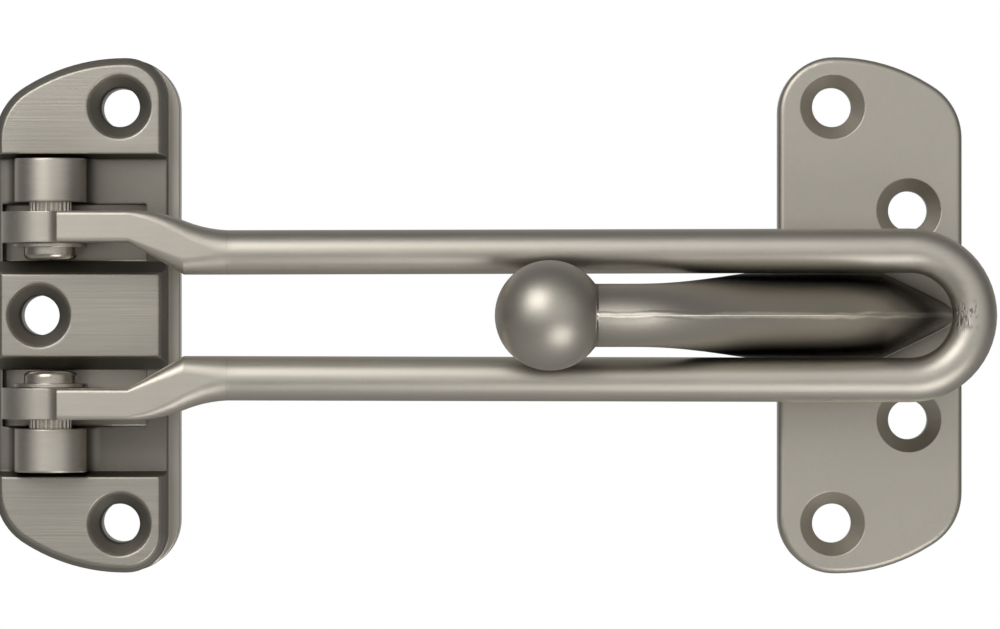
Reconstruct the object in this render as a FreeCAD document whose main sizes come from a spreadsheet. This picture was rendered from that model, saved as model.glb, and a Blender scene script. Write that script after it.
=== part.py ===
import FreeCAD, Part
import Sketcher
import math
import os
import re

# Swing bar door guard: a hinge bracket for the door frame, a looped bar that swings on two pins,
# and a keeper for the door whose ball-ended horn stands inside the loop.
# X runs along the bar from the hinge axis, Z runs up along the hinge axis, and Y runs into the wall.
# Both plates back on to the plane Y = 0, so a height above the wall is a negative Y.

SIZES = {
    # Hinge bracket: a flange, a block with three raised pads, and a deck with an eye pocket each side.
    "bracket_half_height": 37.4,
    "bracket_left": 8.2,
    "flange_right": 18.4,
    "flange_thickness": 4.0,
    "flange_corner": 7.5,
    "block_right": 16.7,
    "block_corner": 5.8,
    "shoulder_drop": 6.9,
    "shoulder_run": 11.1,
    "shoulder_radius": 9.0,
    "pad_height": 9.5,
    "pad_bevel": 1.1,
    "middle_pad_half": 5.9,
    "middle_slope": 2.0,
    "end_pad_start": 23.5,
    "end_pad_slope": 0.8,
    "deck_height": 7.0,
    "deck_bevel": 0.7,
    "eye_pocket_left": 7.2,
    "eye_pocket_right": 13.7,
    "eye_pocket_inner": 7.9,
    "eye_pocket_outer": 16.2,
    "eye_pocket_floor": 2.4,
    # Hinge: axis height, knuckle, pin and washer.
    "hinge_height": 10.0,
    "knuckle_radius": 5.2,
    "knuckle_root": 1.8,
    "knuckle_inner": 16.4,
    "knuckle_outer": 22.7,
    "pin_radius": 3.1,
    "pin_end": 22.4,
    "pin_end_chamfer": 0.4,
    "pin_head_radius": 3.85,
    "pin_head_inner": 8.1,
    "pin_head_outer": 9.9,
    "pin_head_round": 0.8,
    "knurl_start": 15.1,
    "knurl_count": 24,
    "knurl_depth": 0.22,
    "washer_radius": 5.4,
    "washer_thickness": 0.5,
    "washer_play": 0.1,
    "pin_clearance": 0.05,
    # Swing bar: eye, flattened arm, bend into the round rod, and the loop.
    "eye_radius": 7.1,
    "eye_outer": 15.0,
    "arm_start": 1.7,
    "arm_depth": 6.8,
    "arm_edge": 0.6,
    "arm_root": 2.0,
    "arm_flat_end": 11.9,
    "elbow_end": 19.8,
    "elbow_edge": 2.3,
    "outer_bend_start": 13.5,
    "rod_radius": 3.2,
    "rod_start": 26.0,
    "rod_height": 16.2,
    "leg_half_gap": 5.85,
    "loop_radius": 9.3,
    "loop_centre": 124.2,
    # Keeper: plate, horn and ball.
    "keeper_left": 105.9,
    "keeper_right": 132.8,
    "keeper_half_height": 37.8,
    "keeper_corner": 8.2,
    "keeper_thickness": 4.0,
    "keeper_edge": 0.9,
    "ball_radius": 7.85,
    "ball_centre": 72.3,
    "ball_height": 24.6,
    "neck_radius": 4.5,
    "neck_end": 84.0,
    "horn_full": 106.0,
    "horn_taper": 120.5,
    "horn_waist_half": 5.4,
    "horn_base_half": 6.5,
    "horn_tip": 131.4,
    "horn_tip_half": 1.4,
    "horn_tip_height": 5.0,
    "horn_seat": 2.6,
    "horn_edge": 0.4,
    # Screw holes, countersunk from the front.
    "screw_radius": 2.9,
    "countersink_width": 1.85,
    "bracket_end_hole_across": 9.9,
    "bracket_end_hole_inset": 7.1,
    "bracket_middle_hole_left": 1.8,
    "keeper_outer_hole_across": 113.85,
    "keeper_outer_hole_inset": 7.3,
    "keeper_inner_hole_across": 125.0,
    "keeper_inner_hole_along": 15.3,
}

# How far a cutting sketch stands clear of the metal it cuts.
CLEAR = 1.0

doc = FreeCAD.newDocument("SwingBarDoorGuard")
sheet = doc.addObject("Spreadsheet::Sheet", "Sizes")
for row, (alias, size) in enumerate(SIZES.items(), start=1):
    sheet.set(f"A{row}", alias)
    sheet.set(f"B{row}", str(size))
    sheet.setAlias(f"B{row}", alias)
doc.recompute()


def value(formula):
    """The number that a formula of sizes gives now."""
    return float(sheet.evalExpression(formula))


def bound(formula):
    """The same formula, as other objects of the document read it from the sheet."""
    return re.sub(r"[a-z_]{2,}", lambda word: "Sizes." + word.group()
                  if word.group() in SIZES else word.group(), formula)


def bind(item, **formulas):
    """Tie properties of an object to the sheet."""
    for name, formula in formulas.items():
        item.setExpression(name, bound(formula))


def new_body(name):
    body = doc.addObject("PartDesign::Body", name)
    body.Label = name
    return body


def sketch_on(body, name, plane, lift="0"):
    """A sketch on one of the body's own planes, lifted along that plane's normal."""
    item = body.newObject("Sketcher::SketchObject", name)
    support = [feature for feature in body.Origin.OriginFeatures if feature.Role == plane]
    item.AttachmentSupport = [(support[0], "")]
    item.MapMode = "FlatFace"
    item.setExpression("AttachmentOffset.Base.z", bound(lift))
    return item


def fix_point(item, geometry, end, point):
    """Hold one point of a sketch at a pair of formulas, measured from the sketch's origin."""
    for kind, formula in zip(("DistanceX", "DistanceY"), point):
        rule = Sketcher.Constraint(kind, -1, 1, geometry, end, value(formula))
        number = item.addConstraint(rule)
        item.setExpression(f"Constraints[{number}]", bound(formula))


def vector(point):
    return FreeCAD.Vector(value(point[0]), value(point[1]), 0)


def end_at(item, geometry, spot):
    """Which end of a sketch curve lies at a spot: 1 for its start, 2 for its end."""
    near_start = item.getPoint(geometry, 1).distanceToPoint(spot)
    near_end = item.getPoint(geometry, 2).distanceToPoint(spot)
    return 1 if near_start < near_end else 2


def outline(item, corners):
    """A closed outline. Each entry is a corner, or a corner and a point that the arc to the next
    corner passes through."""
    curves = []
    for number, entry in enumerate(corners):
        start = entry[0:2]
        finish = corners[(number + 1) % len(corners)][0:2]
        if len(entry) == 2:
            curves.append(item.addGeometry(Part.LineSegment(vector(start), vector(finish))))
        else:
            through = entry[2:4]
            curve = item.addGeometry(Part.Arc(vector(start), vector(through), vector(finish)))
            guide = item.addGeometry(Part.Point(vector(through)), True)
            fix_point(item, guide, 1, through)
            item.addConstraint(Sketcher.Constraint("PointOnObject", guide, 1, curve))
            curves.append(curve)
    for number, curve in enumerate(curves):
        spot = vector(corners[number][0:2])
        before = curves[number - 1]
        here = end_at(item, curve, spot)
        item.addConstraint(Sketcher.Constraint("Coincident", before, end_at(item, before, spot), curve, here))
        fix_point(item, curve, here, corners[number][0:2])


def circle(item, centre, radius):
    curve = item.addGeometry(Part.Circle(vector(centre), FreeCAD.Vector(0, 0, 1), value(radius)))
    number = item.addConstraint(Sketcher.Constraint("Radius", curve, value(radius)))
    item.setExpression(f"Constraints[{number}]", bound(radius))
    fix_point(item, curve, 3, centre)


def pad(body, profile, length):
    feature = body.newObject("PartDesign::Pad", profile.Name + "Pad")
    feature.Profile = profile
    bind(feature, Length=length)
    doc.recompute()
    return feature


def pocket(body, profile, length, forward=False):
    """A cut against the sketch's normal, or along it. The cut has to remove metal."""
    before = body.Tip.Shape.Volume
    feature = body.newObject("PartDesign::Pocket", profile.Name + "Pocket")
    feature.Profile = profile
    feature.Reversed = forward
    bind(feature, Length=length)
    doc.recompute()
    if feature.Shape.Volume > before - 1e-6:
        raise RuntimeError(feature.Name + " cuts nothing")
    return feature


def edges_where(feature, test):
    """The names of a feature's edges whose middle passes a test."""
    names = []
    for number, edge in enumerate(feature.Shape.Edges, start=1):
        middle = edge.valueAt((edge.FirstParameter + edge.LastParameter) / 2)
        if test(edge, middle):
            names.append(f"Edge{number}")
    if not names:
        raise RuntimeError("no edge found on " + feature.Name)
    return names


def round_off(body, name, test, radius):
    base = body.Tip
    names = edges_where(base, test)
    feature = body.newObject("PartDesign::Fillet", name)
    feature.Base = (base, names)
    bind(feature, Radius=radius)
    body.Tip = feature
    doc.recompute()
    return feature


def bevel(body, name, test, size):
    base = body.Tip
    names = edges_where(base, test)
    feature = body.newObject("PartDesign::Chamfer", name)
    feature.Base = (base, names)
    bind(feature, Size=size)
    body.Tip = feature
    doc.recompute()
    return feature


def at_height(height):
    """A test for edges that lie at one height above the wall."""
    return lambda edge, middle: (abs(middle.y + value(height)) < 1e-4
                                 and all(abs(v.Point.y + value(height)) < 1e-4 for v in edge.Vertexes))


def plate_outline(item, shoulder_edge, inward, straight_edge, half_height):
    """A plate's outline before its corners are rounded: a straight side, and a side that leans in
    over a shoulder at top and bottom."""
    shoulder_point = f"{shoulder_edge} {inward} shoulder_run"
    outline(item, [
        (shoulder_edge, f"-({half_height} - shoulder_drop)"),
        (shoulder_edge, f"{half_height} - shoulder_drop"),
        (shoulder_point, half_height),
        (straight_edge, half_height),
        (straight_edge, f"-({half_height})"),
        (shoulder_point, f"-({half_height})"),
    ])


def crown_radius(width, corner):
    """The largest arc that joins the shoulder's slope to the top within the room there is."""
    slope = "sqrt(shoulder_drop * shoulder_drop + shoulder_run * shoulder_run)"
    shoulder_turn = math.atan2(value("shoulder_run"), value("shoulder_drop"))
    crown_turn = math.pi / 2 - shoulder_turn
    slope_room = value(slope) - value("shoulder_radius") * math.tan(shoulder_turn / 2)
    top_room = value(f"{width} - shoulder_run - {corner}")
    share = 0.97
    return share * min(slope_room, top_room) / math.tan(crown_turn / 2)


def round_corners(body, name, shoulder_edge, inward, straight_edge, half_height, corner, width):
    """Round a plate's upright edges: shoulders, crowns and straight-side corners."""
    def upright(x, z):
        return lambda edge, middle: (abs(middle.x - value(x)) < 1e-4 and abs(abs(middle.z) - value(z)) < 1e-4
                                     and len({round(v.Point.y, 4) for v in edge.Vertexes}) == 2)
    round_off(body, name + "Shoulders", upright(shoulder_edge, f"{half_height} - shoulder_drop"),
              "shoulder_radius")
    crown_x = f"{shoulder_edge} {inward} shoulder_run"
    round_off(body, name + "Crowns", upright(crown_x, half_height), str(crown_radius(width, corner)))
    round_off(body, name + "Corners", upright(straight_edge, half_height), corner)


def screw_holes(body, name, places, front):
    """Through holes with countersinks at the front face."""
    profile = sketch_on(body, name, "XZ_Plane", f"{front} + {CLEAR}")
    for place in places:
        circle(profile, place, "screw_radius")
    pocket(body, profile, f"{front} + 2 * {CLEAR}")
    flat = at_height(front)

    def rim(edge, middle):
        round_edge = isinstance(edge.Curve, Part.Circle)
        return flat(edge, middle) and round_edge and abs(edge.Curve.Radius - value("screw_radius")) < 1e-4
    bevel(body, name + "Countersinks", rim, "countersink_width")


def both_sides(name):
    """The two hinges, as a name, a sign and the direction of a cut away from the middle."""
    return (("Upper" + name, 1), ("Lower" + name, -1))


def signed(sign, formula):
    return formula if sign > 0 else f"-({formula})"


def make_bracket():
    body = new_body("hinge_bracket")
    blank = new_body("bracket_flange_blank")
    flange = sketch_on(blank, "FlangeOutline", "XZ_Plane")
    plate_outline(flange, "-bracket_left", "+", "flange_right", "bracket_half_height")
    pad(blank, flange, "flange_thickness")
    round_corners(blank, "Flange", "-bracket_left", "+", "flange_right", "bracket_half_height",
                  "flange_corner", "bracket_left + flange_right")
    block = sketch_on(body, "BlockOutline", "XZ_Plane")
    plate_outline(block, "-bracket_left", "+", "block_right", "bracket_half_height")
    pad(body, block, "pad_height")
    round_corners(body, "Block", "-bracket_left", "+", "block_right", "bracket_half_height",
                  "block_corner", "bracket_left + block_right")
    bevel(body, "PadBevel", at_height("pad_height"), "pad_bevel")
    flange_under = body.newObject("PartDesign::Boolean", "FlangeJoin")
    flange_under.setObjects([blank])
    flange_under.Type = "Fuse"
    body.Tip = flange_under
    doc.recompute()
    # Each channel leaves the middle pad and an end pad standing, with a slope at each.
    for name, sign in both_sides("Channel"):
        channel = sketch_on(body, name, "YZ_Plane", f"flange_right + {CLEAR}")
        over = f"-(pad_height + {CLEAR})"
        rise = "(pad_height - deck_height)"
        outline(channel, [
            ("-deck_height", signed(sign, "middle_pad_half + middle_slope")),
            ("-deck_height", signed(sign, "end_pad_start - end_pad_slope")),
            (over, signed(sign, f"end_pad_start + end_pad_slope * {CLEAR} / {rise}")),
            (over, signed(sign, f"middle_pad_half - middle_slope * {CLEAR} / {rise}")),
        ])
        pocket(body, channel, f"flange_right + bracket_left + 2 * {CLEAR}")
    left_edge = at_height("deck_height")
    bevel(body, "DeckBevel", lambda edge, middle: left_edge(edge, middle)
          and abs(middle.x + value("bracket_left")) < 1e-4, "deck_bevel")
    for name, sign in both_sides("EyePocket"):
        recess = sketch_on(body, name, "XZ_Plane", f"deck_height + {CLEAR}")
        inner = signed(sign, "eye_pocket_inner")
        outer = signed(sign, "eye_pocket_outer")
        outline(recess, [("-eye_pocket_left", inner), ("eye_pocket_right", inner),
                         ("eye_pocket_right", outer), ("-eye_pocket_left", outer)])
        pocket(body, recess, f"deck_height + {CLEAR} - eye_pocket_floor")
    bend = 1 - math.sqrt(0.5)
    for name, sign in both_sides("Knuckle"):
        low = "knuckle_inner" if sign > 0 else "-knuckle_outer"
        knuckle = sketch_on(body, name, "XY_Plane", low)
        foot = "-(deck_height + knuckle_root)"
        mid = f"-(deck_height + {bend} * knuckle_root)"
        wide = "(knuckle_radius + knuckle_root)"
        turn = f"(knuckle_radius + {bend} * knuckle_root)"
        sunk = f"-(deck_height - {CLEAR})"
        outline(knuckle, [
            (f"-{wide}", sunk),
            (f"{wide}", sunk),
            (f"{wide}", "-deck_height", turn, mid),
            ("knuckle_radius", foot),
            ("knuckle_radius", "-hinge_height", "0", "-(hinge_height + knuckle_radius)"),
            ("-knuckle_radius", "-hinge_height"),
            ("-knuckle_radius", foot, f"-{turn}", mid),
            (f"-{wide}", "-deck_height"),
        ])
        pad(body, knuckle, "knuckle_outer - knuckle_inner")
        bore = sketch_on(body, name + "Bore", "XY_Plane", signed(sign, "knuckle_inner"))
        circle(bore, ("0", "-hinge_height"), "pin_radius")
        pocket(body, bore, "pin_end - knuckle_inner", forward=sign > 0)
    screw_holes(body, "BracketScrews", [
        ("bracket_end_hole_across", "bracket_half_height - bracket_end_hole_inset"),
        ("bracket_end_hole_across", "bracket_end_hole_inset - bracket_half_height"),
        ("-bracket_middle_hole_left", "0"),
    ], "pad_height")
    return body


def make_pin(label, sign):
    """A pin round its own axis: a crowned head, a shank and a knurl that grips the knuckle."""
    body = new_body(label)
    short = "Upper" if sign > 0 else "Lower"
    centre = ("0", "0")
    head = sketch_on(body, short + "PinHead", "XY_Plane", "pin_head_inner" if sign > 0 else "-pin_head_outer")
    circle(head, centre, "pin_head_radius")
    pad(body, head, "pin_head_outer - pin_head_inner")

    def rim_at(place):
        return lambda edge, middle: (abs(middle.z - value(signed(sign, place))) < 1e-4
                                     and isinstance(edge.Curve, Part.Circle))
    round_off(body, short + "PinCrown", rim_at("pin_head_inner"), "pin_head_round")
    shank = sketch_on(body, short + "PinShank", "XY_Plane", "pin_head_outer" if sign > 0 else "-pin_end")
    circle(shank, centre, "pin_radius")
    pad(body, shank, "pin_end - pin_head_outer")
    bevel(body, short + "PinTail", rim_at("pin_end"), "pin_end_chamfer")
    groove = sketch_on(body, short + "KnurlGroove", "XY_Plane", signed(sign, "knurl_start"))
    outline(groove, [("pin_radius - knurl_depth", "0"),
                     ("pin_radius + knurl_depth", "2 * knurl_depth"),
                     ("pin_radius + knurl_depth", "-2 * knurl_depth")])
    cut = pocket(body, groove, "pin_end - knurl_start", forward=sign > 0)
    knurl = body.newObject("PartDesign::PolarPattern", short + "Knurl")
    knurl.Originals = [cut]
    knurl.Axis = ([axis for axis in body.Origin.OriginFeatures if axis.Role == "Z_Axis"][0], [""])
    knurl.Angle = 360
    bind(knurl, Occurrences="knurl_count")
    body.Tip = knurl
    body.setExpression("Placement.Base.y", bound("-hinge_height"))
    doc.recompute()
    return body


def make_washer(label, sign):
    """A flat washer between a pin's head and the bar's eye."""
    body = new_body(label)
    short = "Upper" if sign > 0 else "Lower"
    low = "pin_head_outer" if sign > 0 else "-(pin_head_outer + washer_thickness)"
    ring = sketch_on(body, short + "WasherRing", "XY_Plane", low)
    circle(ring, ("0", "0"), "washer_radius")
    circle(ring, ("0", "0"), "pin_radius + pin_clearance")
    pad(body, ring, "washer_thickness")
    body.setExpression("Placement.Base.y", bound("-hinge_height"))
    doc.recompute()
    return body


def bar_section(body, name, along, inner, outer, half_depth, edge):
    """A rounded rectangle across the bar at one place along it."""
    item = sketch_on(body, name, "YZ_Plane", along)
    front = f"-(rod_height + ({half_depth}))"
    back = f"-(rod_height - ({half_depth}))"
    cut = f"{1 - math.sqrt(0.5)} * ({edge})"
    outline(item, [
        (f"{front} + {edge}", inner),
        (f"{back} - {edge}", inner, f"{back} - {cut}", f"{inner} + {cut}"),
        (back, f"{inner} + {edge}"),
        (back, f"{outer} - {edge}", f"{back} - {cut}", f"{outer} - {cut}"),
        (f"{back} - {edge}", outer),
        (f"{front} + {edge}", outer, f"{front} + {cut}", f"{outer} - {cut}"),
        (front, f"{outer} - {edge}"),
        (front, f"{inner} + {edge}", f"{front} + {cut}", f"{inner} + {cut}"),
    ])
    return item


def loft(body, name, sections):
    feature = body.newObject("PartDesign::AdditiveLoft", name)
    feature.Profile = sections[0]
    feature.Sections = sections[1:]
    feature.Ruled = False
    doc.recompute()
    return feature


def blend_formula(first, last, share):
    """A formula that lies a share of the way from one size to another."""
    return f"(({first}) + {share} * (({last}) - ({first})))"


def make_bar():
    """One half of the bar, from its eye to the middle of the loop, and its mirror image."""
    body = new_body("bar_half")
    eye_inner = "(pin_head_outer + washer_thickness + washer_play)"
    eye = sketch_on(body, "Eye", "XY_Plane", eye_inner)
    circle(eye, ("0", "-hinge_height"), "eye_radius")
    pad(body, eye, f"eye_outer - {eye_inner}")
    arm = bar_section(body, "Arm", "arm_start", eye_inner, "eye_outer", "arm_depth / 2", "arm_edge")
    pad(body, arm, "arm_flat_end - arm_start")

    def arm_root(edge, middle):
        across = abs(edge.Vertexes[0].Z - edge.Vertexes[-1].Z) > value(f"eye_outer - {eye_inner}") / 2
        at_start = abs(middle.x - value("arm_start")) < 1e-4
        return across and at_start and -middle.y < value("hinge_height + eye_radius")
    # The fillet takes at most four fifths of the step from the eye up to the arm.
    arm_step = "(rod_height + arm_depth / 2 - hinge_height - sqrt(eye_radius ^ 2 - arm_start ^ 2))"
    round_off(body, "ArmRoot", arm_root, f"min(arm_root; 0.8 * {arm_step})")
    # The inner side runs straight to a corner at the elbow, and the outer side in one long S.
    leg_outer = "(leg_half_gap + 2 * rod_radius)"
    elbow_shares = (0, 0.35, 0.7, 1)
    reach_shares = (0, 0.5, 1)
    round_share = 0.97

    def outer_at(along):
        room = value("rod_start - outer_bend_start")
        share = min(max((value(along) - value("outer_bend_start")) / room, 0), 1)
        return blend_formula("eye_outer", leg_outer, (1 - math.cos(math.pi * share)) / 2)

    def depth_at(along):
        share = value(f"({along} - arm_flat_end) / (rod_start - arm_flat_end)")
        return blend_formula("arm_depth / 2", "rod_radius", share)

    elbow = []
    for share in elbow_shares:
        along = blend_formula("arm_flat_end", "elbow_end", share)
        inner = blend_formula(eye_inner, "leg_half_gap", share)
        edge = blend_formula("arm_edge", "elbow_edge", share)
        elbow.append(bar_section(body, f"Elbow{len(elbow)}", along, inner, outer_at(along),
                                 depth_at(along), edge))
    loft(body, "ElbowLoft", elbow)
    reach = []
    for share in reach_shares:
        along = blend_formula("elbow_end", "rod_start", share)
        edge = blend_formula("elbow_edge", f"{round_share} * rod_radius", share)
        reach.append(bar_section(body, f"Reach{len(reach)}", along, "leg_half_gap", outer_at(along),
                                 depth_at(along), edge))
    loft(body, "ReachLoft", reach)
    # The leg leaves the elbow and touches the loop's arc.
    path = sketch_on(body, "LegPath", "XZ_Plane", "rod_height")
    leg_start = ("rod_start", "leg_half_gap + rod_radius")
    reach_back = value("loop_centre - rod_start")
    rise = value(leg_start[1])
    lean = math.atan2(reach_back, rise) - math.acos(value("loop_radius") / math.hypot(reach_back, rise))
    radius = value("loop_radius")
    middle = FreeCAD.Vector(value("loop_centre"), 0, 0)
    touch = middle + FreeCAD.Vector(-radius * math.sin(lean), radius * math.cos(lean), 0)
    tip = middle + FreeCAD.Vector(radius, 0, 0)
    between = middle + FreeCAD.Vector(radius * math.sqrt(0.5), radius * math.sqrt(0.5), 0)
    leg = path.addGeometry(Part.LineSegment(vector(leg_start), touch))
    bend = path.addGeometry(Part.Arc(tip, between, touch))
    fix_point(path, leg, 1, leg_start)
    fix_point(path, bend, 3, ("loop_centre", "0"))
    fix_point(path, bend, end_at(path, bend, tip), ("loop_centre + loop_radius", "0"))
    path.addConstraint(Sketcher.Constraint("Tangent", leg, 2, bend, end_at(path, bend, touch)))
    rod = sketch_on(body, "RodSection", "YZ_Plane", "rod_start")
    circle(rod, ("-rod_height", leg_start[1]), "rod_radius")
    doc.recompute()
    pipe = body.newObject("PartDesign::AdditivePipe", "RodPipe")
    pipe.Profile = rod
    pipe.Spine = (path, ["Edge1", "Edge2"])
    doc.recompute()
    bore = sketch_on(body, "EyeBore", "XY_Plane", eye_inner)
    circle(bore, ("0", "-hinge_height"), "pin_radius + pin_clearance")
    pocket(body, bore, f"eye_outer - {eye_inner}", forward=True)
    mirror = doc.addObject("Part::Mirroring", "BarMirror")
    mirror.Source = body
    mirror.Normal = FreeCAD.Vector(0, 0, 1)
    whole = doc.addObject("Part::MultiFuse", "SwingBar")
    whole.Shapes = [body, mirror]
    whole.Refine = True
    whole.Label = "swing_bar"
    doc.recompute()
    return whole


def horn_section(name, along, top, waist_half, waist, base_half, base, keel):
    """Two flanks that meet in a ridge, over a shallow curved underside, across the horn's length."""
    item = doc.addObject("Sketcher::SketchObject", name)
    item.Placement = FreeCAD.Placement(FreeCAD.Vector(), FreeCAD.Rotation(FreeCAD.Vector(1, 1, 1), 120))
    item.setExpression("Placement.Base.x", bound(along))
    outline(item, [
        (f"-({base})", f"-({base_half})", f"-({waist})", f"-({waist_half})"),
        (f"-({top})", "0", f"-({waist})", waist_half),
        (f"-({base})", base_half, f"-({keel})", "0"),
    ])
    return item


def make_keeper():
    """The plate with its screw holes, the horn and its tail as two lofts, and the ball, as one casting."""
    body = new_body("keeper_plate")
    plate = sketch_on(body, "PlateOutline", "XZ_Plane")
    plate_outline(plate, "keeper_right", "-", "keeper_left", "keeper_half_height")
    pad(body, plate, "keeper_thickness")
    round_corners(body, "Keeper", "keeper_right", "-", "keeper_left", "keeper_half_height",
                  "keeper_corner", "keeper_right - keeper_left")
    round_off(body, "KeeperEdge", at_height("keeper_thickness"), "keeper_edge")
    screw_holes(body, "KeeperScrews", [
        (across, signed(sign, along)) for sign in (1, -1) for across, along in (
            ("keeper_outer_hole_across", "(keeper_half_height - keeper_outer_hole_inset)"),
            ("keeper_inner_hole_across", "keeper_inner_hole_along"))
    ], "keeper_thickness")
    crest = "(ball_height + neck_radius)"
    slant = math.sqrt(0.5)
    waist_share = 0.45
    tip_waist_share = 0.7
    neck_shares = (0.5, 1)
    swell_shares = (0.2, 0.4, 0.6, 0.8, 1)
    base = "(horn_seat + horn_edge)"
    neck = [crest, "neck_radius", "ball_height", f"{slant} * neck_radius",
            f"ball_height - {slant} * neck_radius", "ball_height - neck_radius"]
    full = [crest, "horn_waist_half", blend_formula(base, crest, waist_share),
            "horn_base_half", base, "horn_seat"]

    def blended(first, last, share):
        return [blend_formula(one, other, share) for one, other in zip(first, last)]

    # The neck is round from inside the ball, then it swells and its underside sweeps down to the plate.
    horn = [("(ball_centre + ball_radius / 2)", neck)]
    horn += [(blend_formula(horn[0][0], "neck_end", share), neck) for share in neck_shares]
    for share in swell_shares:
        eased = share ** 2 * (3 - 2 * share)
        horn.append((blend_formula("neck_end", "horn_full", share), blended(neck, full, eased)))
    # The ridge falls ever more steeply to the tip, and the flanks run in straight to it.
    fall = 2.5
    tail = []
    taper_start = value("(horn_taper - horn_full) / (horn_tip - horn_full)")
    fall_shares = (0.25, 0.45, taper_start, 0.72, 0.86, 1)
    for share in fall_shares:
        top = blend_formula("horn_tip_height", crest, 1 - share ** fall)
        taper = min(1, (1 - share) / (1 - taper_start))
        station = (blend_formula("horn_full", "horn_tip", share), [
            top, blend_formula(f"{tip_waist_share} * horn_tip_half", "horn_waist_half", taper),
            blend_formula(base, top, waist_share),
            blend_formula("horn_tip_half", "horn_base_half", taper), base, "horn_seat"])
        if share <= taper_start:
            horn.append(station)
        if share >= taper_start:
            tail.append(station)
    lofts = []
    for name, stations in (("Horn", horn), ("Tail", tail)):
        solid = doc.addObject("Part::Loft", name)
        solid.Sections = [horn_section(f"{name}Section{place}", along, *sizes)
                          for place, (along, sizes) in enumerate(stations)]
        solid.Solid = True
        solid.Ruled = False
        solid.MaxDegree = 3
        lofts.append(solid)
    ball = doc.addObject("Part::Sphere", "Ball")
    bind(ball, Radius="ball_radius")
    # The sphere's seam faces away from the neck.
    ball.Placement = FreeCAD.Placement(FreeCAD.Vector(), FreeCAD.Rotation(180, 0, 0))
    ball.setExpression("Placement.Base.x", bound("ball_centre"))
    ball.setExpression("Placement.Base.y", bound("-ball_height"))
    whole = doc.addObject("Part::MultiFuse", "Keeper")
    whole.Shapes = [body, *lofts, ball]
    whole.Refine = True
    whole.Label = "keeper"
    doc.recompute()
    return whole


PARTS = [make_bracket()]
for place, sign in (("upper", 1), ("lower", -1)):
    PARTS.append(make_pin(place + "_hinge_pin", sign))
    PARTS.append(make_washer(place + "_washer", sign))
PARTS.append(make_bar())
PARTS.append(make_keeper())

for item in doc.Objects:
    if "Invalid" in item.State or "Error" in item.State:
        raise RuntimeError(item.Label + " failed: " + str(item.State))
for item in PARTS:
    if item.Shape.isNull() or not item.Shape.isValid() or len(item.Shape.Solids) != 1:
        raise RuntimeError(item.Label + " is not one valid solid")
os.makedirs("parts", exist_ok=True)
for item in PARTS:
    item.Shape.exportStep("parts/" + item.Label + ".step")
    print(item.Label, round(item.Shape.Volume, 2), len(item.Shape.Faces))
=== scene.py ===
"""Satin nickel looks, studio light and camera for a swing bar door guard, laid out as an add-on.

Units are metres. +X runs along the bar from the hinge, +Z up along the hinge and +Y into the wall,
so a height above the wall is a negative Y.
"""

import math
from typing import NamedTuple

import bpy
from bpy.props import FloatProperty, FloatVectorProperty, PointerProperty
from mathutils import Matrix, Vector


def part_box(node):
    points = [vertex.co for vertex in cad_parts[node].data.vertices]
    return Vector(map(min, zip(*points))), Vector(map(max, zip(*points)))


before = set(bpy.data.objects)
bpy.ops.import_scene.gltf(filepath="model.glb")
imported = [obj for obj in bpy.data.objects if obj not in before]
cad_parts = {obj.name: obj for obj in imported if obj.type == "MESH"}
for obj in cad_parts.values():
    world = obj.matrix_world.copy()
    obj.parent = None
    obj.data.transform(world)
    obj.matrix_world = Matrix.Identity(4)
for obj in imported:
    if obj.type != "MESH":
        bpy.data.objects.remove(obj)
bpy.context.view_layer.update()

bl_info = {
    "name": "Swing bar door guard",
    "version": (1, 0, 0),
    "blender": (4, 5, 0),
    "location": "View3D > Sidebar > Door Guard",
    "description": "Finishes the door guard's pieces in satin nickel and lights them in a studio",
    "category": "Object",
}


class Grain(NamedTuple):
    """Noise with a scale per metre for each axis, and how far it moves tone, roughness and relief."""

    scale: tuple
    tone: float
    roughness: float
    relief: float
    detail: float = 3.0


MM = 0.001
BAR_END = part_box("swing_bar")[1].x
KEEPER_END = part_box("keeper")[1].x

# Tone is measured from a finish's own colour: half down is black, half up is twice as light.
# Relief is in millimetres.
MIDDLE_TONE = 0.5
NOISE_MIDDLE = 0.5
SHADE_SAMPLES = 8

# Bracket: lines brushed along the pads, and a matt deck between the pads and the flange, with painted shade
# on the recessed deck and the pads and a painted highlight on the knuckles.
PAD_LINES = Grain((70, 800, 5200), tone=0.12, roughness=0.16, relief=0.016, detail=4.0)
PAD_CLOUDS = Grain((25, 300, 900), tone=0.05, roughness=0.06, relief=0.004, detail=2.0)
DECK_GRAIN = Grain((2600, 2600, 2600), tone=0.04, roughness=0.05, relief=0.004)
FLANGE_TOP = 4.4 * MM
DECK_FOOT = 4.8 * MM
PAD_STEP = 0.2 * MM
KNUCKLE_STEP = 0.4 * MM
DECK_PAINTED_SHADE = -0.22
DECK_ROUGHNESS = 0.14
PAD_PAINTED_SHADE = -0.07
KNUCKLE_PAINTED_HIGHLIGHT = 0.16
# Share of the depth of the painted crevice shade on the bracket.
BRACKET_PAINTED_SHADE_SHARE = 0.5
BRACKET_EDGE_SHARE = 1.8

# Bar: lines drawn along the rods, and specks in a rough mark on the inner side of the bend.
ROD_LINES = Grain((90, 2400, 2400), tone=0.06, roughness=0.08, relief=0.004)
ROD_GRAIN = Grain((2600, 2600, 2600), tone=0.04, roughness=0.07, relief=0.005)
ROD_CLOUDS = Grain((160, 160, 160), tone=0.035, roughness=0.05, relief=0.0, detail=2.0)
SPECKS = Grain((1900, 1900, 700), tone=-0.3, roughness=0.15, relief=-0.06, detail=4.0)
SPECK_LOW = 0.5
SPECK_HIGH = 0.62
MARK_FULL = BAR_END - 4.0 * MM
MARK_END = BAR_END - 2.5 * MM
MARK_HALF_FULL = 0.8 * MM
MARK_HALF_END = 2.8 * MM
ELBOW_BLEND_FULL = 1.0 * MM
ELBOW_BLEND_END = 3.0 * MM
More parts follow.
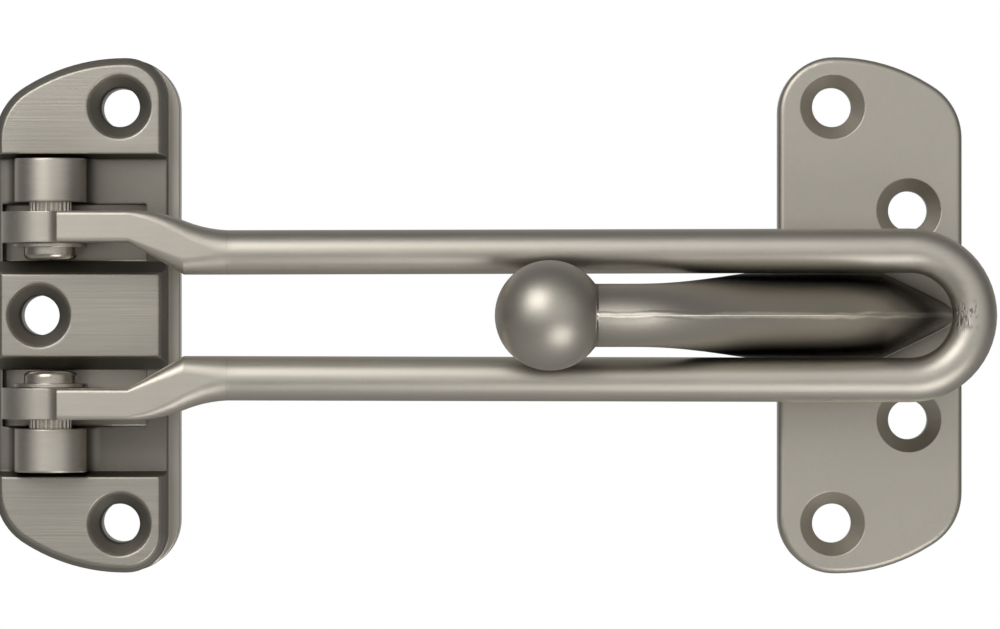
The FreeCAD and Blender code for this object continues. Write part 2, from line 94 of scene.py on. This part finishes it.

# Keeper: an even grain, a wavering casting line along the horn's ridge with a painted highlight on it, and
# painted shade in the crevices and low on the horn.
CAST_GRAIN = Grain((2600, 2600, 2600), tone=0.05, roughness=0.09, relief=0.006)
CAST_CLOUDS = Grain((140, 140, 140), tone=0.03, roughness=0.05, relief=0.0, detail=2.0)
# The line's lighter tone is a painted highlight; its roughness and relief are the casting line's own.
RIDGE_HIGHLIGHT_AND_CAST_LINE = {"tone": 0.34, "roughness": -0.1, "relief": 0.08}
LINE_WAVER_SCALE = (120, 1, 1)
LINE_WAVER_DETAIL = 3.0
LINE_WAVER = 1.6 * MM
LINE_HALF_FULL = 0.15 * MM
LINE_HALF_END = 0.6 * MM
LINE_FADE_START = KEEPER_END - 16.0 * MM
LINE_FADE_END = KEEPER_END - 6.0 * MM
LINE_FADE_SHARE = 0.25
NECK_STEP = 0.4 * MM
PLATE_TOP = 4.2 * MM
HORN_FOOT = 5.0 * MM
# Painted shade in the keeper: its reach beside the horn and in the plate, and its share of the depth.
HORN_PAINTED_SHADE_REACH_SHARE = 2.0
PLATE_PAINTED_SHADE_REACH_SHARE = 0.35
KEEPER_PAINTED_SHADE_SHARE = 1.7
# Painted shade on the horn: its tone darkens from HORN_HIGH down to HORN_LOW, towards the plate.
HORN_LOW = 8.0 * MM
HORN_HIGH = 18.0 * MM
HORN_LOW_PAINTED_SHADE = -0.06
TAIL_BLEND_FULL = 1.0 * MM
TAIL_BLEND_END = 4.0 * MM

# Pins and washers: rings left by turning, and the cloudier skin of a stamping.
PIN_RINGS = Grain((900, 900, 6000), tone=0.2, roughness=0.14, relief=0.008)
PIN_CLOUDS = Grain((700, 700, 700), tone=0.16, roughness=0.1, relief=0.0, detail=2.0)
WASHER_GRAIN = Grain((1800, 1800, 1800), tone=0.16, roughness=0.12, relief=0.006)
WASHER_CLOUDS = Grain((500, 500, 500), tone=0.14, roughness=0.08, relief=0.0, detail=2.0)
WASHER_ROUGHNESS = 0.06
HINGE_EDGE_SHARE = 0.5

# Stage: directions from the object, and light levels at which 1 is white.
KEY_DIRECTION = Vector((-0.41, -0.75, 0.52))
FILL_DIRECTION = Vector((0.35, -0.66, -0.67))
FLOOR_SIZE = 6.0
FLOOR_COLOUR = (0.8, 0.8, 0.8, 1.0)
FLOOR_GLOW = 0.86
WORLD_COLOUR = (1.0, 1.0, 1.0, 1.0)
ROOM_TURN_START = 0.15
ROOM_SIDE_LEVEL = 0.12
ROOM_FRONT_LEVEL = 0.62
REAR_TURN_START = 0.2
REAR_LEVEL = 0.3
CEILING_LIFT = 0.03
BACKDROP_EDGE = 0.985
BACKDROP_FULL = 0.997


def scaled(colour, factor):
    """A colour made lighter or darker, with an alpha of 1."""
    return [part * factor for part in colour] + [1.0]


class Graph:
    """A cleared node tree, with short ways to add the nodes that the finishes and the stage share."""

    def __init__(self, owner):
        owner.use_nodes = True
        self.nodes = owner.node_tree.nodes
        self.links = owner.node_tree.links
        self.nodes.clear()

    def feed(self, socket, value):
        """Links an input to a socket, or sets it to a value."""
        if isinstance(value, bpy.types.NodeSocket):
            self.links.new(value, socket)
        else:
            socket.default_value = value

    def node(self, kind, inputs=()):
        """A new shader node with some of its inputs fed by name."""
        made = self.nodes.new("ShaderNode" + kind)
        for name, value in dict(inputs).items():
            self.feed(made.inputs[name], value)
        return made

    def compute(self, operation, *values):
        """A Math node on sockets or numbers."""
        made = self.node("Math")
        made.operation = operation
        for socket, value in zip(made.inputs, values):
            self.feed(socket, value)
        return made.outputs["Value"]

    def plus(self, first, second):
        return self.compute("ADD", first, second)

    def minus(self, first, second):
        return self.compute("SUBTRACT", first, second)

    def times(self, first, *others):
        for other in others:
            first = self.compute("MULTIPLY", first, other)
        return first

    def away(self, value, place):
        """How far a value is from a place, to either side."""
        return self.compute("ABSOLUTE", self.minus(value, place))

    def step(self, value, low, high, to_low=0.0, to_high=1.0):
        """A smooth step of a value from one range to another."""
        made = self.node("MapRange", {
            "Value": value, "From Min": low, "From Max": high, "To Min": to_low, "To Max": to_high})
        made.interpolation_type = "SMOOTHSTEP"
        return made.outputs["Result"]

    def falls(self, value, low, high, to_high=0.0):
        """1 below the low end, and 0 or another value above the high end."""
        return self.step(value, low, high, 1.0, to_high)


class Finish(Graph):
    """One metal material that is built up from grain, marks, painted highlights, shade painted into crevices
    and worn edges.
    """

    def __init__(self, name, colour, roughness):
        self.material = bpy.data.materials.new(name)
        super().__init__(self.material)
        self.colour = list(colour)
        self.roughness = roughness
        self.place = self.node("TexCoord").outputs["Object"]
        self.x, self.y, self.z = self.node("SeparateXYZ", {"Vector": self.place}).outputs
        self.changes = {}

    def above(self, height, full_height):
        """0 up to a height above the wall, and 1 from the full height on."""
        return self.falls(self.y, -full_height, -height)

    def noise(self, scale, detail):
        """Noise on the piece's own coordinates."""
        mapping = self.node("Mapping", {"Vector": self.place, "Scale": scale})
        made = self.node("TexNoise", {"Vector": mapping.outputs["Vector"], "Scale": 1.0, "Detail": detail})
        return made.outputs["Fac"]

    def change(self, **amounts):
        """Adds to the tone, the roughness and the relief."""
        for channel, amount in amounts.items():
            if channel in self.changes:
                amount = self.plus(self.changes[channel], amount)
            self.changes[channel] = amount

    def mark(self, mask, **amounts):
        """Changes the tone, the roughness or the relief by an amount where the mask is 1."""
        self.change(**{channel: self.times(mask, amount) for channel, amount in amounts.items()})

    def brush(self, grain, mask=1.0):
        """Fine lines or grain that change the tone, the roughness and the relief together."""
        lines = self.minus(self.noise(grain.scale, grain.detail), NOISE_MIDDLE)
        self.change(
            tone=self.times(lines, grain.tone, mask),
            roughness=self.times(lines, grain.roughness, mask),
            relief=self.times(lines, grain.relief, mask))

    def paint_crevice_shade(self, reach, depth, mask=1.0, only_own=False):
        """Paints shade: takes tone away where the guard's surfaces, or only the piece's own, stand close
        together.
        """
        shade = self.node("AmbientOcclusion", {"Distance": reach})
        shade.samples = SHADE_SAMPLES
        shade.only_local = only_own
        hidden = self.minus(1.0, shade.outputs["AO"])
        self.change(tone=self.times(hidden, -depth, mask))

    def finish(self, edge_radius):
        """Joins all the changes in one shader, with edges softened to a radius, and gives the material."""
        wear = self.node("Bevel", {"Radius": edge_radius})
        wear.samples = SHADE_SAMPLES
        bump = self.node("Bump", {
            "Distance": MM, "Height": self.changes["relief"], "Normal": wear.outputs["Normal"]})
        lightest = 1.0 / MIDDLE_TONE
        # The tone holds grain and marks together with painted shade and painted highlights.
        share = self.plus(self.changes["tone"], MIDDLE_TONE)
        toned = self.node("Mix")
        toned.data_type = "RGBA"
        self.feed(toned.inputs["A"], scaled(self.colour, 0.0))
        self.feed(toned.inputs["B"], scaled(self.colour, lightest))
        self.feed(toned.inputs["Factor"], share)
        # The tone, painted shade included, also tints the grazing reflection, which is darker where the tone
        # is low.
        glancing_shade_and_grain = self.compute("MINIMUM", self.times(share, lightest), 1.0)
        shader = self.node("BsdfPrincipled", {
            "Metallic": 1.0,
            "Base Color": toned.outputs["Result"],
            "Specular Tint": self.compute("MAXIMUM", glancing_shade_and_grain, 0.0),
            "Roughness": self.plus(self.changes["roughness"], self.roughness),
            "Normal": bump.outputs["Normal"]})
        self.node("OutputMaterial", {"Surface": shader.outputs["BSDF"]})
        return self.material


def dress(material, *names):
    """Gives CAD nodes a material in place of the plain one that they are loaded with."""
    for name in names:
        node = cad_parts[name]
        if not node.material_slots:
            raise RuntimeError(f"{name} has no material slot to dress")
        for slot in node.material_slots:
            slot.material = material


class GuardFinish(bpy.types.PropertyGroup):
    """The metal's colours, and the places where its finish changes."""

    nickel: FloatVectorProperty(
        name="Nickel", description="Colour of the satin nickel plating", subtype="COLOR", size=3,
        min=0.0, max=1.0, default=(0.60, 0.56, 0.485))
    bar_nickel: FloatVectorProperty(
        name="Bar nickel", description="Colour of the brighter plating on the bar", subtype="COLOR", size=3,
        min=0.0, max=1.0, default=(0.655, 0.612, 0.532))
    steel: FloatVectorProperty(
        name="Pin steel", description="Colour of the plated hinge pins and washers", subtype="COLOR", size=3,
        min=0.0, max=1.0, default=(0.64, 0.595, 0.52))
    brushed_roughness: FloatProperty(
        name="Brushed roughness", description="Roughness of the bracket", subtype="FACTOR",
        min=0.0, max=1.0, default=0.38)
    satin_roughness: FloatProperty(
        name="Satin roughness", description="Roughness of the bar and the keeper", subtype="FACTOR",
        min=0.0, max=1.0, default=0.43)
    pin_roughness: FloatProperty(
        name="Pin roughness", description="Roughness of the pins, which the washers add to", subtype="FACTOR",
        min=0.0, max=1.0, default=0.24)
    edge_radius: FloatProperty(
        name="Edge softness", description="Radius to which tumbling has worn the sharp edges", unit="LENGTH",
        subtype="DISTANCE", min=0.0, default=0.25 * MM)
    # Reach and depth of the shade painted into crevices.
    painted_shade_reach: FloatProperty(
        name="Crevice reach", description="How far a crevice's darkening reaches", unit="LENGTH",
        subtype="DISTANCE", min=0.0, default=9.0 * MM)
    painted_shade_depth: FloatProperty(
        name="Crevice depth", description="How much tone a closed crevice loses", subtype="FACTOR",
        min=0.0, max=1.0, default=0.42)
    pad_height: FloatProperty(
        name="Pad height", description="Height above the wall at which the brushed pads start", unit="LENGTH",
        subtype="DISTANCE", min=0.0, default=9.2 * MM)
    # Above this height the knuckles get a lighter tone, which is a painted highlight.
    knuckle_height: FloatProperty(
        name="Knuckle height", description="Height above the wall at which the polished knuckles start",
        unit="LENGTH", subtype="DISTANCE", min=0.0, default=10.4 * MM)
    elbow_end: FloatProperty(
        name="Elbow end", description="Distance from the hinge at which the flat arm has become a round rod",
        unit="LENGTH", subtype="DISTANCE", default=26 * MM)
    neck_start: FloatProperty(
        name="Neck start", description="Distance from the hinge at which the ball becomes the horn's neck",
        unit="LENGTH", subtype="DISTANCE", default=78.8 * MM)
    neck_slope: FloatProperty(
        name="Neck slope", description="Slope of the two faces that filing has left along the neck",
        subtype="FACTOR", min=0.0, max=1.0, default=0.25)
    ridge_start: FloatProperty(
        name="Ridge start", description="Distance from the hinge at which the horn's own ridge is complete",
        unit="LENGTH", subtype="DISTANCE", default=106 * MM)
    tail_start: FloatProperty(
        name="Tail start", description="Distance from the hinge at which the horn's flanks start to run in",
        unit="LENGTH", subtype="DISTANCE", default=120.5 * MM)
    crease_blend: FloatProperty(
        name="Crease blend", description="Radius to which the elbow's end and the tail's start are polished",
        unit="LENGTH", subtype="DISTANCE", min=0.0, default=1.6 * MM)


class GuardStage(bpy.types.PropertyGroup):
    """The camera, the lamps and the floor."""

    camera_distance: FloatProperty(
        name="Camera distance", description="Distance from the wall plane to the camera", unit="LENGTH",
        subtype="DISTANCE", default=735 * MM)
    view_width: FloatProperty(
        name="View width", description="Width that the picture takes in at the wall plane", unit="LENGTH",
        subtype="DISTANCE", default=147.06 * MM)
    view_centre: FloatVectorProperty(
        name="View centre", description="Point of the wall plane in the middle of the picture", size=3,
        subtype="TRANSLATION", unit="LENGTH", default=(65.2 * MM, 0.0, 0.12 * MM))
    sensor: FloatProperty(
        name="Sensor width", description="Width of the camera's sensor in millimetres", default=36.0)
    key_power: FloatProperty(
        name="Key power", description="Power of the upper left soft box", subtype="POWER", unit="POWER",
        default=1.1)
    fill_power: FloatProperty(
        name="Fill power", description="Power of the lower right soft box", subtype="POWER", unit="POWER",
        default=0.85)
    lamp_distance: FloatProperty(
        name="Lamp distance", description="Distance of the soft boxes from the view's centre", unit="LENGTH",
        subtype="DISTANCE", default=0.6)
    lamp_size: FloatProperty(
        name="Lamp size", description="Side of a soft box", unit="LENGTH", subtype="DISTANCE", default=0.38)
    floor_drop: FloatProperty(
        name="Floor drop", description="How far the floor lies below the middle of the guard", unit="LENGTH",
        subtype="DISTANCE", default=500 * MM)


class DOORGUARD_OT_finish_bracket(bpy.types.Operator):
    """Brushes the bracket's raised pads along the bar, leaves its deck unbrushed, and paints shade on the
    deck, pads and crevices and a highlight on the knuckles
    """

    bl_idname = "doorguard.finish_bracket"
    bl_label = "Finish Bracket"

    def execute(self, context):
        looks = context.scene.guard_finish
        metal = Finish("brushed_bracket_nickel", looks.nickel, looks.brushed_roughness)
        on_pad = metal.above(looks.pad_height - PAD_STEP, looks.pad_height)
        on_deck = metal.minus(metal.above(FLANGE_TOP, DECK_FOOT), on_pad)
        on_knuckle = metal.above(looks.knuckle_height - KNUCKLE_STEP, looks.knuckle_height)
        metal.brush(PAD_LINES, on_pad)
        metal.brush(PAD_CLOUDS, on_pad)
        metal.brush(DECK_GRAIN, on_deck)
        # Painted shade: the recessed deck is a darker tone.
        metal.mark(on_deck, tone=DECK_PAINTED_SHADE, roughness=DECK_ROUGHNESS)
        # Painted shade: the pads, knuckles included, are a little darker.
        metal.mark(on_pad, tone=PAD_PAINTED_SHADE)
        # Painted highlight: the knuckles are a lighter tone.
        metal.mark(on_knuckle, tone=KNUCKLE_PAINTED_HIGHLIGHT)
        # Painted shade: the bracket darkens where surfaces stand close together.
        metal.paint_crevice_shade(looks.painted_shade_reach, BRACKET_PAINTED_SHADE_SHARE * looks.painted_shade_depth)
        dress(metal.finish(BRACKET_EDGE_SHARE * looks.edge_radius), "hinge_bracket")
        return {"FINISHED"}


class DOORGUARD_OT_finish_bar(bpy.types.Operator):
    """Gives the swing bar its fine matt grain, drawn along the rods, with a rough mark on the bend"""

    bl_idname = "doorguard.finish_bar"
    bl_label = "Finish Swing Bar"

    def execute(self, context):
        looks = context.scene.guard_finish
        metal = Finish("satin_bar_nickel", looks.bar_nickel, looks.satin_roughness)
        for grain in (ROD_LINES, ROD_GRAIN, ROD_CLOUDS):
            metal.brush(grain)
        on_bend = metal.falls(metal.x, MARK_FULL, MARK_END)
        near_middle = metal.falls(metal.away(metal.z, 0.0), MARK_HALF_FULL, MARK_HALF_END)
        specks = metal.step(metal.noise(SPECKS.scale, SPECKS.detail), SPECK_LOW, SPECK_HIGH)
        in_mark = metal.times(specks, metal.times(on_bend, near_middle))
        metal.mark(in_mark, tone=SPECKS.tone, roughness=SPECKS.roughness, relief=SPECKS.relief)
        # Painted shade: the bar darkens where its own surfaces stand close together.
        metal.paint_crevice_shade(looks.painted_shade_reach, looks.painted_shade_depth, only_own=True)
        from_elbow = metal.away(metal.x, looks.elbow_end)
        edge_radius = metal.step(
            from_elbow, ELBOW_BLEND_FULL, ELBOW_BLEND_END, looks.crease_blend, looks.edge_radius)
        dress(metal.finish(edge_radius), "swing_bar")
        return {"FINISHED"}


class DOORGUARD_OT_finish_keeper(bpy.types.Operator):
    """Gives the keeper a fine even grain, the horn the line where its casting halves met with a painted
    highlight along it, and painted shade in its crevices
    """

    bl_idname = "doorguard.finish_keeper"
    bl_label = "Finish Keeper"

    def execute(self, context):
        looks = context.scene.guard_finish
        metal = Finish("satin_keeper_nickel", looks.nickel, looks.satin_roughness)
        above_plate = metal.above(PLATE_TOP, HORN_FOOT)
        past_ball = metal.step(metal.x, looks.neck_start, looks.neck_start + NECK_STEP)
        before_tail = metal.falls(metal.x, LINE_FADE_START, LINE_FADE_END, LINE_FADE_SHARE)
        on_horn = metal.times(past_ball, before_tail)
        metal.brush(CAST_GRAIN)
        metal.brush(CAST_CLOUDS)
        self.draw_cast_line_and_highlight(metal, on_horn, above_plate)
        self.file_neck(metal, looks, on_horn, above_plate)
        self.shade(metal, looks, above_plate)
        from_tail = metal.away(metal.x, looks.tail_start)
        at_tail = metal.times(metal.falls(from_tail, TAIL_BLEND_FULL, TAIL_BLEND_END), above_plate)
        softer = metal.times(at_tail, looks.crease_blend - looks.edge_radius)
        dress(metal.finish(metal.plus(softer, looks.edge_radius)), "keeper")
        return {"FINISHED"}

    def draw_cast_line_and_highlight(self, metal, on_horn, above_plate):
        """The casting line, which wavers along the ridge: its relief and roughness are the line's own, and
        its lighter tone is a painted highlight.
        """
        noise = metal.noise(LINE_WAVER_SCALE, LINE_WAVER_DETAIL)
        waver = metal.times(metal.minus(noise, NOISE_MIDDLE), LINE_WAVER)
        off_line = metal.compute("ABSOLUTE", metal.plus(metal.z, waver))
        on_line = metal.falls(off_line, LINE_HALF_FULL, LINE_HALF_END)
        metal.mark(metal.times(on_line, on_horn, above_plate), **RIDGE_HIGHLIGHT_AND_CAST_LINE)

    def file_neck(self, metal, looks, on_horn, above_plate):
        """Two faces along the neck that carry the horn's ridge on to the ball."""
        before_ridge = metal.falls(metal.x, looks.neck_start, looks.ridge_start)
        on_neck = metal.times(on_horn, before_ridge, above_plate)
        metal.mark(on_neck, relief=metal.times(metal.away(metal.z, 0.0), -looks.neck_slope / MM))

    def shade(self, metal, looks, above_plate):
        """Paints shade: darkens the crevices beside the horn, the countersinks and the horn's lower flanks.
        """
        depth = KEEPER_PAINTED_SHADE_SHARE * looks.painted_shade_depth
        # Painted shade beside the horn, where other surfaces stand close.
        metal.paint_crevice_shade(HORN_PAINTED_SHADE_REACH_SHARE * looks.painted_shade_reach, depth, above_plate)
        in_plate = metal.minus(1.0, above_plate)
        # Painted shade in the countersinks, from the keeper's own surfaces.
        metal.paint_crevice_shade(PLATE_PAINTED_SHADE_REACH_SHARE * looks.painted_shade_reach, depth, in_plate, only_own=True)
        # Painted shade: the horn's tone darkens towards the plate.
        painted_shade_low_on_horn = metal.times(metal.step(metal.y, -HORN_HIGH, -HORN_LOW), above_plate)
        metal.mark(painted_shade_low_on_horn, tone=HORN_LOW_PAINTED_SHADE)


class DOORGUARD_OT_finish_hinge(bpy.types.Operator):
    """Gives the hinge pins and their washers the brighter look of turned and plated steel"""

    bl_idname = "doorguard.finish_hinge"
    bl_label = "Finish Pins and Washers"

    def execute(self, context):
        looks = context.scene.guard_finish
        edge_radius = HINGE_EDGE_SHARE * looks.edge_radius
        pins = Finish("turned_pin_steel", looks.steel, looks.pin_roughness)
        pins.brush(PIN_RINGS)
        pins.brush(PIN_CLOUDS)
        dress(pins.finish(edge_radius), "upper_hinge_pin", "lower_hinge_pin")
        washers = Finish("stamped_washer_steel", looks.steel, looks.pin_roughness + WASHER_ROUGHNESS)
        washers.brush(WASHER_GRAIN)
        washers.brush(WASHER_CLOUDS)
        dress(washers.finish(edge_radius), "upper_washer", "lower_washer")
        return {"FINISHED"}


class DOORGUARD_OT_build_stage(bpy.types.Operator):
    """Sets up the camera, two soft boxes, a dim studio round them and a pale floor"""

    bl_idname = "doorguard.build_stage"
    bl_label = "Build Stage"

    def execute(self, context):
        stage = context.scene.guard_stage
        middle = Vector(stage.view_centre)
        self.add_camera(context, stage, middle)
        self.add_lamp(context, stage, middle, "key_soft_box", KEY_DIRECTION, stage.key_power)
        self.add_lamp(context, stage, middle, "fill_soft_box", FILL_DIRECTION, stage.fill_power)
        self.add_floor(context, stage, middle)
        self.paint_world(context.scene)
        context.scene.view_settings.view_transform = "Standard"
        return {"FINISHED"}

    def add_camera(self, context, stage, middle):
        """A camera that looks straight at the wall, with the view's width filling the picture."""
        place = middle - Vector((0.0, stage.camera_distance, 0.0))
        bpy.ops.object.camera_add(location=place, rotation=(math.radians(90), 0.0, 0.0))
        camera = context.object
        camera.name = "front_camera"
        camera.data.sensor_width = stage.sensor
        camera.data.lens = stage.sensor * stage.camera_distance / stage.view_width
        context.scene.camera = camera

    def add_lamp(self, context, stage, middle, name, direction, power):
        """A soft box that faces the view's centre and stays out of the picture."""
        direction = direction.normalized()
        turn = direction.to_track_quat("Z", "Y").to_euler()
        place = middle + direction * stage.lamp_distance
        bpy.ops.object.light_add(type="AREA", location=place, rotation=turn)
        lamp = context.object
        lamp.name = name
        lamp.data.size = stage.lamp_size
        lamp.data.energy = power
        lamp.visible_camera = False

    def add_floor(self, context, stage, middle):
        """A floor that takes shadows, and that the camera sees nearly white."""
        bpy.ops.object.select_all(action="DESELECT")
        bpy.ops.mesh.primitive_plane_add(size=FLOOR_SIZE, location=(middle.x, 0.0, -stage.floor_drop))
        floor = context.object
        floor.name = "studio_floor"
        paper = bpy.data.materials.new("pale_floor_paper")
        graph = Graph(paper)
        seen = graph.node("LightPath").outputs["Is Camera Ray"]
        diffuse = graph.node("BsdfDiffuse", {"Color": FLOOR_COLOUR})
        glow = graph.node("Emission", {"Strength": graph.times(seen, FLOOR_GLOW)})
        both = graph.node("AddShader")
        graph.feed(both.inputs[0], diffuse.outputs["BSDF"])
        graph.feed(both.inputs[1], glow.outputs["Emission"])
        graph.node("OutputMaterial", {"Surface": both.outputs["Shader"]})
        floor.data.materials.append(paper)

    def paint_world(self, scene):
        """A room that is lightest in front, white to the camera and to what mirrors the backdrop."""
        scene.world = bpy.data.worlds.new("dim_studio")
        graph = Graph(scene.world)
        towards = graph.node("TexCoord").outputs["Generated"]
        split = graph.node("SeparateXYZ", {"Vector": towards})
        rearward, upward = split.outputs["Y"], split.outputs["Z"]
        frontward = graph.times(rearward, -1.0)
        room = graph.step(frontward, ROOM_TURN_START, 1.0, ROOM_SIDE_LEVEL, ROOM_FRONT_LEVEL)
        room = graph.plus(room, graph.step(rearward, REAR_TURN_START, 1.0, 0.0, REAR_LEVEL))
        room = graph.plus(room, graph.times(upward, CEILING_LIFT))
        rays = graph.node("LightPath").outputs
        shiny = graph.compute("MAXIMUM", rays["Is Glossy Ray"], rays["Is Transmission Ray"])
        backdrop = graph.times(shiny, graph.step(rearward, BACKDROP_EDGE, BACKDROP_FULL))
        white = graph.compute("MAXIMUM", rays["Is Camera Ray"], backdrop)
        level = graph.node("Mix", {"Factor": white, "A": room, "B": 1.0})
        background = graph.node("Background", {"Color": WORLD_COLOUR, "Strength": level.outputs["Result"]})
        graph.node("OutputWorld", {"Surface": background.outputs["Background"]})


OPERATORS = (
    DOORGUARD_OT_finish_bracket,
    DOORGUARD_OT_finish_bar,
    DOORGUARD_OT_finish_keeper,
    DOORGUARD_OT_finish_hinge,
    DOORGUARD_OT_build_stage,
)


class DOORGUARD_PT_sidebar(bpy.types.Panel):
    """Lists the door guard's finishing steps and their settings"""

    bl_label = "Door Guard"
    bl_idname = "DOORGUARD_PT_sidebar"
    bl_space_type = "VIEW_3D"
    bl_region_type = "UI"
    bl_category = "Door Guard"

    def draw(self, context):
        for operator in OPERATORS:
            self.layout.operator(operator.bl_idname)
        for group in (context.scene.guard_finish, context.scene.guard_stage):
            box = self.layout.box()
            for name in group.__annotations__:
                box.prop(group, name)


CLASSES = (GuardFinish, GuardStage, *OPERATORS, DOORGUARD_PT_sidebar)


def register():
    for item in CLASSES:
        bpy.utils.register_class(item)
    bpy.types.Scene.guard_finish = PointerProperty(type=GuardFinish)
    bpy.types.Scene.guard_stage = PointerProperty(type=GuardStage)


def unregister():
    del bpy.types.Scene.guard_stage
    del bpy.types.Scene.guard_finish
    for item in reversed(CLASSES):
        bpy.utils.unregister_class(item)


def main():
    """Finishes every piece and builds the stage."""
    register()
    bpy.ops.doorguard.finish_bracket()
    bpy.ops.doorguard.finish_bar()
    bpy.ops.doorguard.finish_keeper()
    bpy.ops.doorguard.finish_hinge()
    bpy.ops.doorguard.build_stage()


if __name__ == "__main__":
    main()
